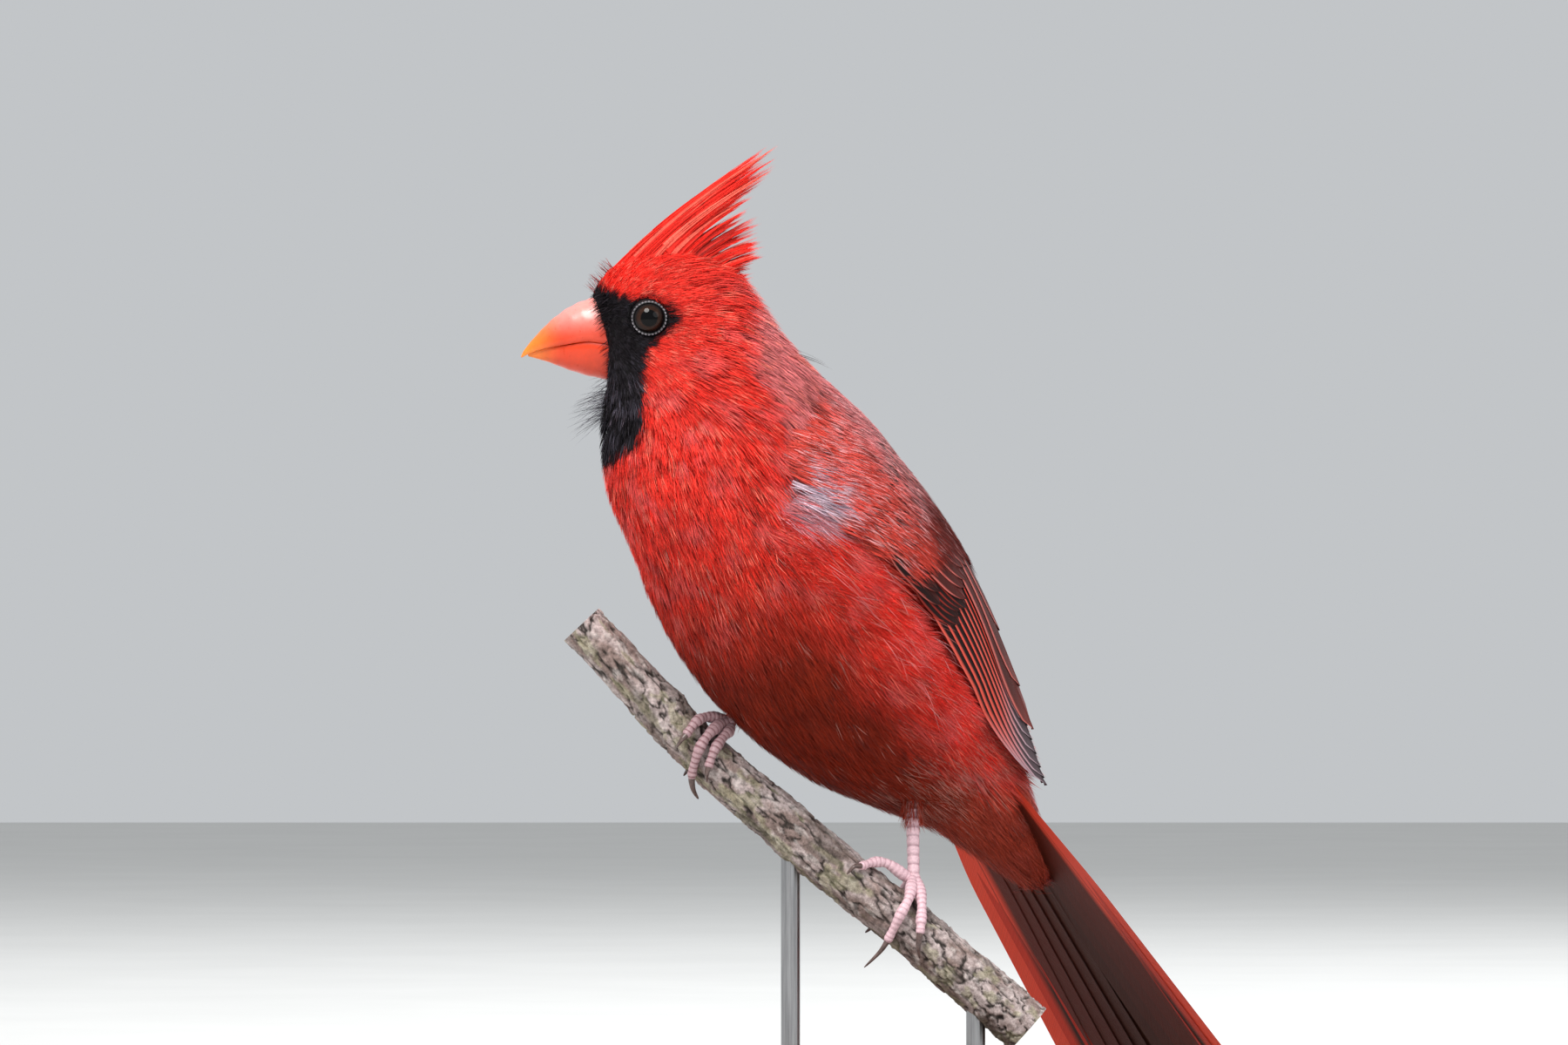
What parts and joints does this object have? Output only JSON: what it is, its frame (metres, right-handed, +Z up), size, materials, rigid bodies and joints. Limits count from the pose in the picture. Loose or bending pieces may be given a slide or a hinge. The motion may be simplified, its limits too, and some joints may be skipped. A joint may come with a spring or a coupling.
{
  "type": "northern cardinal",
  "caption": "Life-size still model of a male northern cardinal gripping a short cut branch, held by a flat base and slim rods.",
  "frame": {"origin": "middle of the stand base's underside", "axes": "+Z up; the bird's head points along -X and its left side and breast look towards -Y"},
  "size_m": [0.1696, 0.1387, 0.2324],
  "materials": {
    "plumage": "soft overlapping body feathers, bright red, greyer on the back, black round the bill",
    "flight_feathers": "stiff vaned feathers, dark grey-brown with red outer edges",
    "bill": "smooth horn, orange-red with a paler ridge and tip, faint growth lines",
    "eye": "wet gloss, dark brown iris round a black pupil",
    "leg_skin": "pinkish grey scaled skin with darker claws",
    "bark": "pinkish grey bark with dark cracks and pale lichen flakes",
    "stand_wood": "dark stained wood with a satin varnish",
    "stand_steel": "fine brushed steel"
  },
  "bodies": {
    "root": {"head": "plumage", "neck": "plumage", "trunk": "plumage", "crest": "plumage", "wing_left": "flight_feathers", "wing_right": "flight_feathers", "tail": "flight_feathers", "bill_upper": "bill", "bill_lower": "bill", "eye_left": "eye", "eye_right": "eye", "foot_left": "leg_skin", "foot_right": "leg_skin", "leg_left": "leg_skin", "leg_right": "leg_skin", "perch": "bark", "stand_base": "stand_wood", "stand_rod_upper": "stand_steel", "stand_rod_lower": "stand_steel"}
  },
  "joints": []
}
